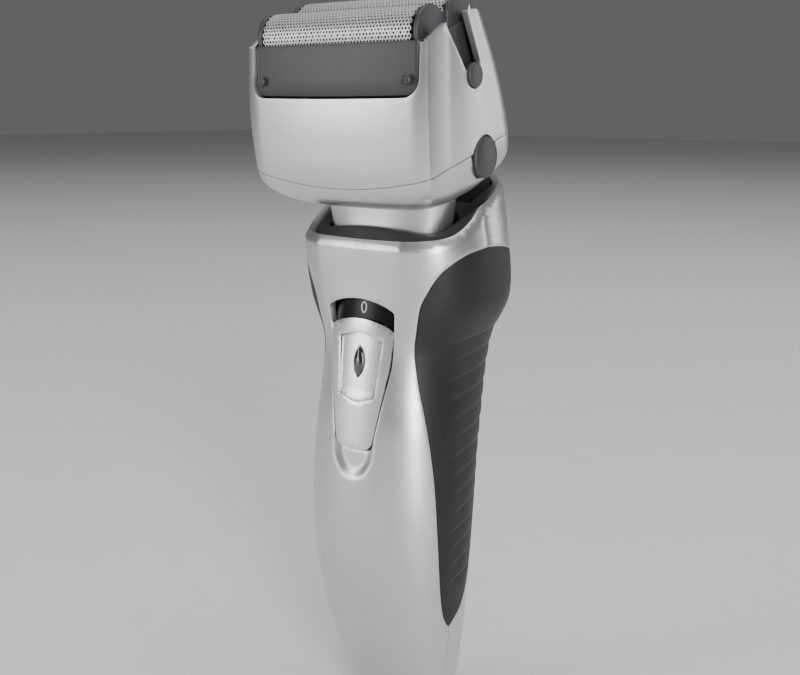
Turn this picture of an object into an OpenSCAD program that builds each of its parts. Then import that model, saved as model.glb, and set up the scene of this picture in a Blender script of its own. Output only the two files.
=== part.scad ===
// Two-foil wet and dry shaver, standing upright on its base.
// Origin: centre of the flat base. +Z up, -Y towards the front (the switch side), +X to the right.

/* [Handle] */
// Height of the front rim of the handle
handle_h = 113.3; // [110:0.1:116]
// Wall thickness of the handle shells
wall = 2.0; // [1.8:0.1:2.2]
// Thickness of the rubber grips
grip_t = 0.9; // [0.6:0.1:1.0]
// Thickness of the base plate
base_t = 3.0; // [2.5:0.5:3.5]

/* [Switch] */
// Height of the middle of the switch plate
switch_z = 83; // [82:0.5:84]
// Tilt of the switch face that follows the waist
switch_tilt = 6.4; // [6:0.1:7]
// Travel of the switch from 0 to 1
switch_travel = 3.5; // [3:0.5:4]
// Travel of the lock button
lock_travel = 0.8; // [0.5:0.1:0.8]

/* [Head] */
// Forward lean of the head
head_lean = 16; // [15:0.5:17]
// Height of the swivel axis of the head
pivot_z = 112; // [111.5:0.1:112.5]
// Half the length of the foils
foil_half = 18.3; // [17.8:0.1:18.4]
// Outer radius of a foil
foil_r = 4.8; // [4.6:0.1:4.9]
// Distance between the two foils
foil_pitch = 10; // [10:0.1:10.4]
// Radius of the frame release buttons
frame_button_r = 4.1; // [3.9:0.1:4.2]
// Radius of the foil release buttons
foil_button_r = 2.35; // [2.2:0.05:2.5]
// Wall thickness of the head
head_wall = 1.4; // [1.2:0.1:1.5]

/* [Inside] */
// Radius of the battery cell
battery_r = 7.1; // [6.8:0.1:7.2]
// Length of the battery cell
battery_l = 50; // [48:1:50]
// Radius of the motor can
motor_r = 7.7; // [7.4:0.1:7.8]
// Length of the motor can
motor_l = 22; // [20:1:22]

/* [Trimmer] */
// Half the width of the trimmer blade
trimmer_half = 10.5; // [9:0.5:10.5]
// Travel of the pop-up trimmer
trimmer_travel = 8; // [6:1:8]

/* [Hidden] */
$fn = 48;
gap = 0.3;          // clearance between pieces that move past each other
seat = 0.1;         // clearance between pieces that only sit together
silver = "#c9cbcd";
dark = "#4a4c4e";
black = "#1c1c1d";
steel = "#b4b7ba";

// Handle stations: height, half width, front face, rear face, squareness of the front half
handle_st = [
    [0, 10.8, -5.4, 8.2, 2.3], [12, 14.1, -9.6, 8.7, 2.3], [30, 17.1, -15.6, 9.4, 2.3],
    [52, 18.3, -18.8, 11.2, 2.3], [72, 17.5, -18.0, 15.3, 2.4], [90, 16.9, -15.7, 20.6, 2.5],
    [100, 21.1, -15.4, 22.0, 2.7], [112, 21.2, -16.6, 20.9, 2.9], [127, 18.2, -18.0, 21.6, 2.9]
];
rear_n = 2.3;       // squareness of the rear half of the handle's section
// Rim of the handle: angle from the front, height above the front rim
rim_st = [[0, 0], [40, 0.4], [62, 1.4], [79, 4.0], [91, 7.2], [115, 10.4], [145, 12.2], [180, 12.7]];
// Edges of a grip: height, angle of its front edge, angle of its rear edge
grip_st = [
    [28.8, 77.5, 83], [31.7, 72.5, 94], [37, 69.3, 106], [50, 66, 118], [64, 61.5, 128], [76, 53, 134],
    [86, 43, 138], [93, 37, 140], [99.5, 33, 141], [103, 36.8, 139], [107.2, 47, 131], [109.8, 61, 118],
    [111.3, 74, 100]
];
grip_bottom = 28.8;
grip_top = 111.3;
rows = 26;          // rows of facets up the handle

// Head stations along its leaning axis: height, half width, front, rear, front and rear corner radius
head_st = [
    [10.2, 15.4, -9.4, 7.5, 5, 5], [11.5, 17.8, -12.8, 11.8, 6, 6], [14.5, 20.5, -16.8, 15.6, 6, 6.5],
    [18, 21.6, -18.4, 16.2, 4.2, 6.5], [26, 22.1, -17.7, 14.8, 2.6, 6], [35, 22.2, -15.8, 12.1, 2.0, 5],
    [45.2, 21.9, -12.7, 8.6, 1.8, 4]
];
part_w = 17.4;      // height of the parting line in the middle
part_rise = 2.4;    // how far the parting line rises to the sides
frame_top = 45.2;
cut_w = 34.3;       // bottom of the window for the foil holder
cut_half = 20.25;
cut_r = 3.2;
foil_v = -6.5;      // middle of the front foil
foil_w = 43.8;      // height of the foil's centre line
foil_float = 0.8;
blade_swing = 1.1;
button_v = 1.2;
button_w = 18.2;
small_v = 0.4;
small_w = 34.3;
frame_press = 1.0;
foil_press = 0.7;
neck_half = 13.8;

// ---- helper functions ----
function cell(t, z, i = 0) = (i >= len(t) - 2 || z < t[i + 1][0]) ? i : cell(t, z, i + 1);
function rise(t, c, i, j) = (t[j][c] - t[i][c]) / (t[j][0] - t[i][0]);
function grade(t, c, i) = rise(t, c, max(i - 1, 0), min(i + 1, len(t) - 1));
// Smooth value of column c of a station table at height z
function smooth(t, c, z0) =
    let (z = min(max(z0, t[0][0]), t[len(t) - 1][0]), i = cell(t, z), h = t[i + 1][0] - t[i][0],
         u = (z - t[i][0]) / h)
    t[i][c] * (1 + 2 * u) * pow(1 - u, 2) + h * grade(t, c, i) * u * pow(1 - u, 2)
    + t[i + 1][c] * u * u * (3 - 2 * u) - h * grade(t, c, i + 1) * u * u * (1 - u);
function power(v, e) = sign(v) * pow(abs(v), e);
// Point at angle t (0 is the front) of the handle's section at height z, a distance d inside it
function on_section(z, t, d) =
    let (a = smooth(handle_st, 1, z) - d, f = smooth(handle_st, 2, z) + d, r = smooth(handle_st, 3, z) - d,
         n = cos(t) > 0 ? smooth(handle_st, 4, z) : rear_n)
    [a * power(sin(t), 2 / n), (f + r) / 2 - (r - f) / 2 * power(cos(t), 2 / n), z];
function around(t) = let (u = ((t % 360) + 360) % 360) u > 180 ? 360 - u : u;
function rim(t) = handle_h + smooth(rim_st, 1, around(t));
function level(t, k, low = base_t) = low + (rim(t) - low) * k;
function handle_pt(t, k, d, low = base_t) = on_section(level(t, k, low), t, d);
// Angle of a grip edge (column c) on row k: the height depends a little on the angle itself
function edge0(c, z) = smooth(grip_st, c, z);
function edge(c, k) =
    let (a = edge0(c, level(80, k)), b = edge0(c, level(a, k)), e = edge0(c, level(b, k))) edge0(c, level(e, k));
// Depth of the grip's bed on row k at angle t
function bed(t, k) = let (z = level(t, k)) (z > grip_bottom - 0.5 && z < grip_top + 0.5) ? grip_t + seat : 0;
function middle(ring) = [for (c = [0 : 2]) [for (p = ring) p[c]] * [for (p = ring) 1 / len(ring)]];
function spread(a, b, n) = [for (i = [0 : n]) a + (b - a) * i / n];
function part_line(x) = part_w + part_rise * pow(x / 21.6, 2);

// ---- helper modules ----
// Solid through closed rings of equal length, closed at both ends
module loft(rings) {
    n = len(rings[0]);
    m = len(rings);
    sides = [for (k = [0 : m - 2], i = [0 : n - 1]) let (j = (i + 1) % n)
        each [[k * n + i, (k + 1) * n + i, k * n + j], [k * n + j, (k + 1) * n + i, (k + 1) * n + j]]];
    polyhedron(concat([for (r = rings) each r], [middle(rings[0]), middle(rings[m - 1])]),
        concat(sides, [for (i = [0 : n - 1]) let (j = (i + 1) % n, t = (m - 1) * n)
            each [[i, j, m * n], [t + j, t + i, m * n + 1]]]), 6);
}
// Solid through closed rings, the last of which joins the first: a tube bent into itself
module hoop(rings) {
    n = len(rings[0]);
    m = len(rings);
    polyhedron([for (r = rings) each r], [for (k = [0 : m - 1], i = [0 : n - 1])
        let (j = (i + 1) % n, l = (k + 1) % m)
        each [[k * n + i, l * n + i, k * n + j], [k * n + j, l * n + i, l * n + j]]], 6);
}
// Solid between two grids of equal size, such as the outside and the inside of a shell
module slab(outer, inner) {
    m = len(outer);
    n = len(outer[0]);
    o = m * n;
    function quad(a, b, c, d) = [[a, b, c], [a, c, d]];
    polyhedron(concat([for (r = outer) each r], [for (r = inner) each r]), concat(
        [for (k = [0 : m - 2], i = [0 : n - 2]) let (p = k * n + i) each quad(p, p + n, p + n + 1, p + 1)],
        [for (k = [0 : m - 2], i = [0 : n - 2]) let (p = o + k * n + i) each quad(p, p + 1, p + n + 1, p + n)],
        [for (i = [0 : n - 2]) each quad(i, i + 1, o + i + 1, o + i)],
        [for (i = [0 : n - 2]) let (p = (m - 1) * n + i) each quad(p, o + p, o + p + 1, p + 1)],
        [for (k = [0 : m - 2]) let (p = k * n) each quad(p, o + p, o + p + n, p + n)],
        [for (k = [0 : m - 2]) let (p = k * n + n - 1) each quad(p, p + n, o + p + n, o + p)]), 6);
}
module mirrored() {
    children();
    mirror([1, 0, 0]) children();
}
// Puts children given in the head's leaning frame in place
module in_head() translate([0, 0, pivot_z]) rotate([head_lean, 0, 0]) children();
// Puts children given on the switch face in place: X across, Z up the face, -Y outwards
module on_switch() translate([0, -16.6, switch_z]) rotate([-switch_tilt, 0, 0]) children();
// Extrudes a side view, drawn as [y, z], to both sides
module across(half) rotate([90, 0, 90]) translate([0, 0, -half]) linear_extrude(2 * half) children();
// Extrudes a front view, drawn as [x, z], from y0 back to y1
module back_from(y0, y1) translate([0, y1, 0]) rotate([90, 0, 0]) linear_extrude(y1 - y0) children();
module round_box(w, d, r) {
    square([w - 2 * r, d], center = true);
    square([w, d - 2 * r], center = true);
    for (i = [-1, 1], j = [-1, 1]) translate([i * (w / 2 - r), j * (d / 2 - r)]) circle(r);
}
module box(x0, x1, y0, y1, z0, z1) translate([x0, y0, z0]) cube([x1 - x0, y1 - y0, z1 - z0]);
module along_x(r, x0, x1, v, w) translate([x0, v, w]) rotate([0, 90, 0]) cylinder(r = r, h = x1 - x0);

// ---- handle ----
row_list = spread(0, 1, rows);
step = 0.6;         // angle over which the bed of a grip steps in
function seam(k) = (edge(1, k) + edge(2, k)) / 2;
// Angles and depths along one row of a shell, from the seam across to the other seam
function front_row(k) = let (e = edge(1, k), s = seam(k) - 0.4) concat(
    [for (t = spread(-s, -e - step, 3)) [t, bed(t, k)]],
    [for (t = spread(-e, e, 18)) [t, 0]],
    [for (t = spread(e + step, s, 3)) [t, bed(t, k)]]);
function rear_row(k) = let (e = edge(2, k), s = seam(k)) concat(
    [for (t = spread(s, e - step, 3)) [t, bed(t, k)]],
    [for (t = spread(e, 360 - e, 14)) [t, 0]],
    [for (t = spread(360 - e + step, 360 - s, 3)) [t, bed(t, k)]]);
module front_shell() color(silver) difference() {
    slab([for (k = row_list) [for (q = front_row(k)) handle_pt(q[0], k, q[1])]],
        [for (k = row_list) [for (q = front_row(k)) handle_pt(q[0], k, wall)]]);
    on_switch() back_from(-6, 8) switch_outline(0.6, switch_travel + 0.4);
}
module rear_shell() color(silver) difference() {
    slab([for (k = row_list) [for (q = rear_row(k)) handle_pt(q[0], k, q[1])]],
        [for (k = row_list) [for (q = rear_row(k)) handle_pt(q[0], k, wall)]]);
    box(-2.8, 2.8, 14, 26, 99.5, 115.5);
}
grip_rows = spread(grip_bottom, grip_top, 22);
function grip_pt(z, u, d) = let (a = edge0(1, z) + 0.9, b = edge0(2, z) - 0.9)
    on_section(z, a + (b - a) * u, d);
module grip() slab([for (z = grip_rows) [for (u = spread(0, 1, 9)) grip_pt(z, u, 0)]],
    [for (z = grip_rows) [for (u = spread(0, 1, 9)) grip_pt(z, u, grip_t)]]);
module grip_right() color(black) grip();
module grip_left() color(black) mirror([1, 0, 0]) grip();
module handle_plan(z, d, n = 48) polygon([for (i = [0 : n - 1])
    let (p = on_section(z, i * 360 / n, d)) [p[0], p[1]]]);
module base_cap() color(dark) difference() {
    union() {
        loft([for (q = [[0, 0.5], [0.5, 0], [base_t - seat, 0]]) [for (i = [0 : 47])
            let (p = on_section(q[0], i * 7.5, q[1])) [p[0], p[1], q[0]]]]);
        translate([0, 0, base_t - seat - 0.01]) linear_extrude(3) handle_plan(base_t, wall + seat + 0.4);
    }
    translate([0, 0, -1]) linear_extrude(20) round_box(11.4, 6.9, 3.2);
}
module base_seal() color(black) difference() {
    translate([0, 0, base_t + 3.05]) linear_extrude(1.2) handle_plan(base_t + 3, wall + seat + 0.2);
    translate([0, 0, base_t + 2]) linear_extrude(4) handle_plan(base_t, wall + 2.4);
    translate([0, 0, base_t]) linear_extrude(6) round_box(11.6, 7.1, 3.3);
}
module inlet_socket() color(black) difference() {
    translate([0, 0, 0.6]) linear_extrude(12.4) round_box(11.2, 6.7, 3.1);
    translate([0, 0, -1]) linear_extrude(10.6) round_box(9.6, 5.1, 2.4);
    for (i = [-1, 1]) translate([i * 3.0, 0, 9]) cylinder(r = 0.75, h = 6);
}
module contact_pins() color(steel) for (i = [-1, 1])
    translate([i * 3.0, 0, 3.2]) cylinder(r = 0.7, h = 12);
// Section of the neck: half width a, from y f back to y r
function neck_ring(a, f, r, n) = [for (i = [0 : n - 1]) let (t = i * 360 / n)
    [a * power(sin(t), 2 / 3), (f + r) / 2 - (r - f) / 2 * power(cos(t), 2 / 3)]];
// Dark seal that fills the top of the handle around the neck
collar_n = 40;
pivot_r = 1.5;      // pivots in the collar on which the head swivels
trimmer_front = 12.4;
function collar_top(t) = let (p = on_section(rim(t) - 0.5, t, wall + seat + 0.3))
    [p[0], min(p[1], trimmer_front - seat), p[1] > trimmer_front ? min(p[2], 119) : p[2]];
function collar_foot(t) = let (p = on_section(108.5, t, wall + seat + 0.3))
    [p[0], min(p[1], trimmer_front - seat), 108.5];
collar_t = [for (i = [0 : collar_n - 1]) i * 360 / collar_n];
module collar() color(dark) difference() {
    inner = neck_ring(neck_half + 0.8, -12.3, 4.4, collar_n);
    hoop([[for (p = inner) [p[0], p[1], 108.5]],
        [for (i = [0 : collar_n - 1]) [inner[i][0], inner[i][1], 115.7 - 1.9 * pow(inner[i][0] / 14.2, 2)]],
        [for (t = collar_t) collar_top(t)],
        [for (t = collar_t) collar_foot(t)]]);
    in_head() mirrored() along_x(pivot_r + 0.1, 12.5, 16.3, 0, 0);
}

// ---- inside of the handle ----
cell_y = -1.5;
cell_z = 18.5;
motor_y = -2.2;
motor_z = 82;
plate_z = motor_z + motor_l + 0.2;
module chassis() color("#3a3d40") difference() {
    union() {
        mirrored() box(9.6, 11.0, -4, 4, 16, plate_z + 1);
        box(-9.7, 9.7, -4, 4, 16, 17.4);
        box(-9.7, 9.7, -8, 7, 73.2, 74.8);
        translate([0, 0, plate_z]) linear_extrude(1.6) handle_plan(104, wall + 0.9);
    }
    translate([0, motor_y, 90]) cylinder(r = 3.0, h = 30);
    for (i = [-1, 1]) translate([i * 5, motor_y, 100]) cylinder(r = 0.9, h = 12);
    box(-12, 12, 12, 30, 100, 110);
}
module chassis_screws() color(steel) for (i = [-1, 1]) translate([i * 5, motor_y, 0]) {
    translate([0, 0, motor_z + motor_l - 2]) cylinder(r = 0.8, h = 3.9);
    translate([0, 0, plate_z + 1.65]) cylinder(r = 1.6, h = 0.9);
}
module battery() color("#6f8f4a") translate([0, cell_y, cell_z]) {
    cylinder(r = battery_r, h = battery_l);
    translate([0, 0, battery_l - 0.01]) cylinder(r = 2.6, h = 1.2);
}
module battery_tabs() color(steel) {
    box(-2, 2, cell_y - 7.2, cell_y + 2, cell_z - 0.5, cell_z - 0.1);
    box(-2, 2, cell_y - 9.0, cell_y + 2, cell_z + battery_l + 1.3, cell_z + battery_l + 1.7);
}
board_y = -11.6;
module circuit_board() color("#2f6b45") {
    box(-7.5, 7.5, board_y, board_y + 1.0, 36, 81);
    box(-4, 4, board_y + 0.95, board_y + 2.2, 75, 80);
}
module charge_lamp() color("#9fd27a") translate([0, board_y - 0.05, 62]) rotate([90, 0, 0]) {
    cylinder(r = 1.2, h = 1.2);
    translate([0, 0, 1.2]) sphere(1.2);
}
module slide_contacts() color(steel) for (i = [-1, 1])
    box(i * 2.2 - 0.5, i * 2.2 + 0.5, board_y - 0.5, board_y - 0.05, 72, 80.8);
module motor() color("#9a9da0") translate([0, motor_y, motor_z]) {
    difference() {
        cylinder(r = motor_r, h = motor_l);
        translate([0, 0, motor_l - 9]) cylinder(r = 1.1, h = 10);
        for (i = [-1, 1]) translate([i * 5, 0, motor_l - 3]) cylinder(r = 0.9, h = 4);
    }
    for (i = [-1, 1]) box(i * 5 - 1, i * 5 + 1, -0.2, 0.2, -2.4, 0.01);
}
// Motor shaft with the two eccentric cams, half a turn apart, that drive the two arms
cam_offset = 1.1;
module rotor() color(steel) translate([0, motor_y, motor_z + motor_l]) {
    translate([0, 0, -8]) cylinder(r = 1.05, h = 20);
    translate([0, cam_offset, 6]) cylinder(r = 2.4, h = 2);
    translate([0, -cam_offset, 9]) cylinder(r = 2.4, h = 2);
}

// ---- switch ----
// Outline of the switch plate on its face, grown by g, its top end moved up by up
module switch_outline(g, up) {
    hull() {
        for (i = [-1, 1]) {
            translate([i * 2.5, -11.2]) circle(r = 2.3 + g, $fn = 32);
            translate([i * 6.3, 4.5]) circle(r = 1.2 + g, $fn = 32);
            translate([i * 7.4, 11.4 + up]) circle(r = 0.7 + g, $fn = 32);
        }
        translate([0, up - 4.1]) intersection() {
            circle(r = 18 + g, $fn = 128);
            translate([-6.6, 14]) square([13.2, 10]);
        }
        translate([0, -3.7]) intersection() {
            circle(r = 10.1 + g, $fn = 96);
            translate([-2.4, -14]) square([4.8, 10]);
        }
    }
}
module pad_outline(g) {
    hull() {
        for (i = [-1, 1]) {
            translate([i * 3.8, -1.8]) circle(r = 0.7 + g, $fn = 32);
            translate([i * 5.0, 9.3]) circle(r = 0.5 + g, $fn = 32);
        }
        translate([0, 1.6]) intersection() {
            circle(r = 5.1 + g, $fn = 64);
            translate([-2.2, -8]) square([4.4, 6]);
        }
        translate([0, -3.3]) intersection() {
            circle(r = 14 + g, $fn = 96);
            translate([-4.4, 10]) square([8.8, 8]);
        }
    }
}
module lens(g) intersection() {
    translate([-3.05, 0]) circle(r = 4.4 + g, $fn = 96);
    translate([3.05, 0]) circle(r = 4.4 + g, $fn = 96);
}
module crown(r) translate([0, r - 0.1, -40]) cylinder(r = r, h = 80, $fn = 96);
lock_z = 4.8;
module switch_plate() color(silver) on_switch() difference() {
    intersection() {
        back_from(-2, 1.7) switch_outline(0, 0);
        crown(29);
    }
    back_from(-3, 1.0) pad_outline(0.1);
    back_from(-3, 3) translate([0, lock_z]) square([3.6, 7.4], center = true);
}
module thumb_pad() color("#dddfe0") on_switch() difference() {
    back_from(0.3, 0.95) pad_outline(0);
    back_from(-3, 3) translate([0, lock_z]) lens(0.15);
}
module switch_stem() color(dark) on_switch() {
    box(-3.4, 3.4, 1.75, 2.05, -9.5, -6.5);
    box(-1.1, 1.1, 2.0, 4.7, -9, -7);
}
module lock_button() color(dark) on_switch() translate([0, 0, 0]) {
    back_from(-0.5, 1.2) translate([0, lock_z]) lens(0);
}
// Glossy dark window behind the switch plate, with a thin lip that lines the opening of the shell
module switch_window() color("black") on_switch() difference() {
    union() {
        intersection() {
            back_from(2, 6) translate([0, 2.4]) round_box(18.4, 34, 2);
            translate([0, 2.4, 0]) crown(20);
        }
        intersection() {
            back_from(0, 3.2) difference() {
                switch_outline(0.5, switch_travel + 0.4);
                switch_outline(0.28, switch_travel + 0.4);
            }
            translate([0, 0.4, 0]) crown(29);
        }
    }
    translate([0, 3.3, 0]) crown(20);
    back_from(1, 6) translate([0, -8 + switch_travel / 2]) square([2.9, 3 + switch_travel], center = true);
}

// ---- head, in its leaning frame ----
// Neck stations along the leaning axis: height, half width, front, rear
neck_st = [[-2.4, 13.4, -11.6, 3.4], [0.5, 13.4, -11.3, 3.6], [4, 13.8, -10.5, 4.2], [8, 14.6, -9.4, 4.9], [10.1, 15.0, -8.9, 5.4]];
module neck() color(silver) in_head() {
    difference() {
        loft([for (q = neck_st) [for (p = neck_ring(q[1], q[2], q[3], 48)) [p[0], p[1], q[0]]]]);
        box(-7, 7, -7.6, 3.4, -10, 20);
    }
    mirrored() along_x(pivot_r, 12.5, 16.0, 0, 0);
}
corner_steps = 8;
front_crown = 1.0;  // how far the front of the head falls back from its middle to its corners
// Corner c of the head's rounded rectangle at height w, a distance d inside it
function head_corner(w, d, c) =
    let (a = smooth(head_st, 1, w), f = smooth(head_st, 2, w), r = smooth(head_st, 3, w),
         rad = smooth(head_st, c % 3 == 0 ? 4 : 5, w))
    [for (i = [0 : corner_steps]) let (t = -90 + 90 * c + 90 * i / corner_steps)
        [(c > 1 ? -1 : 1) * (a - rad) + (rad - d) * cos(t),
            (c % 3 == 0 ? f + front_crown + rad : r - rad) + (rad - d) * sin(t)]];
// Rounded rectangle of the head, with points between its corners
function head_plan(w, d) = [for (c = [0 : 3])
    let (here = head_corner(w, d, c), p = here[corner_steps], q = head_corner(w, d, (c + 1) % 4)[0])
    each concat(here, [for (u = [1 : 7]) p + (q - p) * u / 8 - [0, c == 3 ? front_crown * (1 - pow(u / 4 - 1, 2)) : 0]])];
function head_ring(w, d) = [for (p = head_plan(w, d)) [p[0], p[1], w]];
function seam_ring(d, up) = [for (p = head_plan(17.4, d)) [p[0], p[1], part_line(p[0]) + up]];
// The top edge of the frame is a shallow arch from front to rear
function top_ring(d) = [for (p = head_plan(frame_top, d)) let (q = p[1] - 1.3)
    [p[0], p[1], 45.9 - (q < 0 ? 0.0142 : 0.04) * q * q]];
module head_base() color(silver) in_head() difference() {
    loft(concat(
        [for (w = [10.2, 10.7, 11.5, 12.8, 14.5, 16.0]) head_ring(w, 0)],
        [seam_ring(0, 0), seam_ring(head_wall, 0)],
        [for (w = [15.6, 13.5]) head_ring(w, head_wall + 0.2)]));
    box(-7, 7, -7.6, 3.4, 0, 20);
    mirrored() along_x(frame_button_r + 0.15, 15, 30, button_v, button_w);
}
arm_half = 3;
arm_v = [-6.8, 0.6];  // front faces of the two drive arms
module head_deck() color("#3a3d40") in_head() difference() {
    union() {
        translate([0, 0, 23]) linear_extrude(1.6) polygon(head_plan(24, head_wall + 0.9));
        mirrored() for (v = [-9, 9]) box(12.5, 15.5, v - 1.5, v + 1.5, 13.6, 23.1);
    }
    for (v = arm_v) box(-arm_half - 2, arm_half + 2, v - 1, v + 3, 20, 30);
    mirrored() for (v = [-9, 9]) translate([14, v, 18]) cylinder(r = 0.85, h = 10);
}
module deck_screws() color(steel) in_head() mirrored() for (v = [-9, 9]) translate([14, v, 18.2]) {
    cylinder(r = 0.8, h = 6.5);
    translate([0, 0, 6.45]) cylinder(r = 1.5, h = 0.9);
}
module latch_springs() color(steel) in_head() mirrored() {
    box(16.0, 16.3, button_v - 1.5, button_v + 1.5, 15.5, 22.9);
    box(16.0, 17.4, button_v - 1.5, button_v + 1.5, 22.6, 22.9);
}
module drive_arm_front() color("#e4e2d8") in_head() {
    box(-arm_half, arm_half, arm_v[0], arm_v[0] + 2, 8.5, 38);
    box(-9, 9, foil_v - 1.2, foil_v + 1.2, 36.4, 38);
}
module drive_arm_rear() color("#e4e2d8") in_head() {
    v = foil_v + foil_pitch;
    box(-arm_half, arm_half, arm_v[1], arm_v[1] + 2, 8.5, 38);
    box(-9, 9, v - 1.2, v + 1.2, 36.4, 38);
}
module blade_springs(v) for (x = [-7, 7]) translate([x, v, 38.05]) difference() {
    cylinder(r = 1.2, h = 1.2);
    translate([0, 0, -1]) cylinder(r = 0.8, h = 4);
}
module blade_springs_front() color(steel) in_head() blade_springs(foil_v);
module blade_springs_rear() color(steel) in_head() blade_springs(foil_v + foil_pitch);
blade_half = 16.4;
blade_count = 21;
module inner_blade(v) {
    r = foil_r - 0.5;
    box(-blade_half, blade_half, v - 1.8, v + 1.8, 40.4, 42.2);
    for (x = spread(-blade_half + 0.4, blade_half - 0.4, blade_count - 1))
        translate([x - 0.2, v, 0]) rotate([90, 0, 90]) linear_extrude(0.4) difference() {
            union() {
                translate([0, foil_w]) circle(r);
                translate([-r, 42]) square([2 * r, foil_w - 42]);
            }
            intersection() {
                translate([0, foil_w]) circle(r - 1.4);
                translate([-20, 42.2]) square([40, 20]);
            }
            translate([-20, 20]) square([40, 22]);
            translate([-(r - 1.4), 42.2]) square([2 * (r - 1.4), foil_w - 42.2]);
        }
}
module inner_blade_front() color(steel) in_head() inner_blade(foil_v);
module inner_blade_rear() color(steel) in_head() inner_blade(foil_v + foil_pitch);

// ---- foil frame, which lifts off ----
module frame_window() {
    hull() {
        for (i = [-1, 1]) translate([i * (cut_half - cut_r), cut_w + cut_r]) circle(r = cut_r, $fn = 32);
        for (i = [-1, 1]) translate([i * (cut_half - 1), 60]) square(2, center = true);
    }
}
module side_slot() polygon([[-2.3, 35.8], [3.3, 35.8], [-1.7, 60], [-11.5, 60]]);
module foil_frame() color(silver) in_head() difference() {
    hoop(concat(
        [seam_ring(0, 0.15)],
        [for (w = [22, 26, 30.5, 35, 40]) head_ring(w, 0)],
        [top_ring(0), top_ring(head_wall)],
        [for (w = [40, 35, 30.5, 26, 22]) head_ring(w, head_wall)],
        [seam_ring(head_wall, 0.15)]));
    back_from(-30, 30) frame_window();
    across(30) side_slot();
    mirrored() along_x(frame_button_r + 0.25, 15, 30, button_v, button_w);
    mirrored() along_x(foil_button_r + 0.2, 15, 30, small_v, small_w);
}
holder_half = 19.85;
module foil_holder() color(dark) in_head() difference() {
    intersection() {
        across(holder_half) polygon([[-13.6, 30.8], [-13.9, cut_w + 0.15], [-15.0, cut_w + 0.15], [-12.5, 43.8],
            [8.2, 43.8], [11.2, cut_w + 0.15], [10.6, cut_w + 0.15], [10.4, 30.8]]);
        translate([0, -15.0, cut_w + 0.15]) rotate([-14.8, 0, 0])
            translate([0, 250, -30]) cylinder(r = 250, h = 80, $fn = 300);
        union() {
            translate([0, 0, 30]) linear_extrude(8) polygon(head_plan(38, head_wall + 0.3));
            back_from(-30, 30) hull() {
                for (x = [-16.8, 16.8]) translate([x, cut_w + 3.3]) circle(r = 3.05);
                translate([-19.85, 60]) square([39.7, 1]);
            }
        }
    }
    across(holder_half - 0.45) polygon([[-12.6, 20], [-12.6, 36], [-11.55, 41], [-11.55, 50],
        [8.55, 50], [8.55, 42], [9.8, 36], [9.8, 20]]);
    mirrored() along_x(foil_button_r + 0.2, 15, 30, small_v, small_w);
    mirrored() translate([17.7, 0, 37.3]) rotate([90, 0, 0]) cylinder(r = 0.6, h = 30);
}
module holder_pins() color(dark) in_head() mirrored() translate([17.7, -12.9, 37.3]) rotate([90, 0, 0]) {
    cylinder(r = 0.55, h = 1.5);
    intersection() {
        translate([0, 0, 0.95]) sphere(0.95);
        translate([0, 0, 1.32]) cylinder(r = 2, h = 2);
    }
}
module foil(v) translate([-foil_half, v, 0]) rotate([90, 0, 90]) linear_extrude(2 * foil_half) difference() {
    union() {
        translate([0, foil_w]) circle(r = foil_r, $fn = 96);
        translate([-foil_r, 41.2]) square([2 * foil_r, foil_w - 41.2]);
    }
    translate([0, foil_w]) circle(r = foil_r - 0.25, $fn = 96);
    translate([-foil_r + 0.25, 20]) square([2 * foil_r - 0.5, foil_w - 20]);
    translate([-20, 20]) square([40, 21.2]);
}
module foil_caps(v) mirrored() translate([foil_half + 0.05, v, 0]) rotate([90, 0, 90]) linear_extrude(0.95) {
    translate([0, foil_w]) circle(r = foil_r + 0.12, $fn = 64);
    translate([-foil_r - 0.1, 41.4]) square([2 * foil_r + 0.2, foil_w - 41.4]);
}
module foil_front() color(steel) in_head() foil(foil_v);
module foil_rear() color(steel) in_head() foil(foil_v + foil_pitch);
module foil_caps_front() color(dark) in_head() foil_caps(foil_v);
module foil_caps_rear() color(dark) in_head() foil_caps(foil_v + foil_pitch);
module frame_button() {
    along_x(frame_button_r, 18.9, 22.4, button_v, button_w);
    along_x(2.0, 17.7, 19.0, button_v, button_w);
}
module frame_button_right() color(dark) in_head() frame_button();
module frame_button_left() color(dark) in_head() mirror([1, 0, 0]) frame_button();
module foil_button() along_x(foil_button_r, 19.9, 23.2, small_v, small_w);
module foil_button_right() color(dark) in_head() foil_button();
module foil_button_left() color(dark) in_head() mirror([1, 0, 0]) foil_button();

// ---- pop-up trimmer at the back ----
module trimmer_housing() color(dark) difference() {
    translate([0, 0, 112]) linear_extrude(13.2) intersection() {
        handle_plan(125.5, wall + 0.3);
        handle_plan(113, wall + 0.3);
        translate([-20, trimmer_front]) square([40, 20]);
    }
    box(-trimmer_half - 0.3, trimmer_half + 0.3, 13.2, 16.6, 100, 140);
}
trim_y = 15.0;
module trimmer_carriage() color(dark) {
    box(-trimmer_half, trimmer_half, trim_y - 0.2, trim_y + 1.2, 102, 120.5);
    box(-2.2, 2.2, trim_y + 1.1, 21.0, 101, 103.8);
}
module teeth(y0, y1, z0, half, count) {
    box(-half, half, y0, y1, z0, z0 + 2.6);
    for (x = spread(-half + 0.4, half - 0.4, count - 1)) box(x - 0.3, x + 0.3, y0, y1, z0 + 2.5, z0 + 4.6);
}
module trimmer_comb() color(steel) teeth(trim_y - 0.1, trim_y + 0.5, 120.6, trimmer_half, 15);
module trimmer_cutter() color(steel) teeth(trim_y - 0.9, trim_y - 0.4, 120.2, trimmer_half - 1.4, 13);
module trimmer_knob() color(dark) {
    box(-4.5, 4.5, 22.3, 23.6, 99.8, 107.4);
    box(-2.2, 2.2, 21.05, 22.4, 101, 105);
    for (z = [101.5, 103.5, 105.5]) box(-3.6, 3.6, 23.5, 24.0, z, z + 0.6);
}

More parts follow.
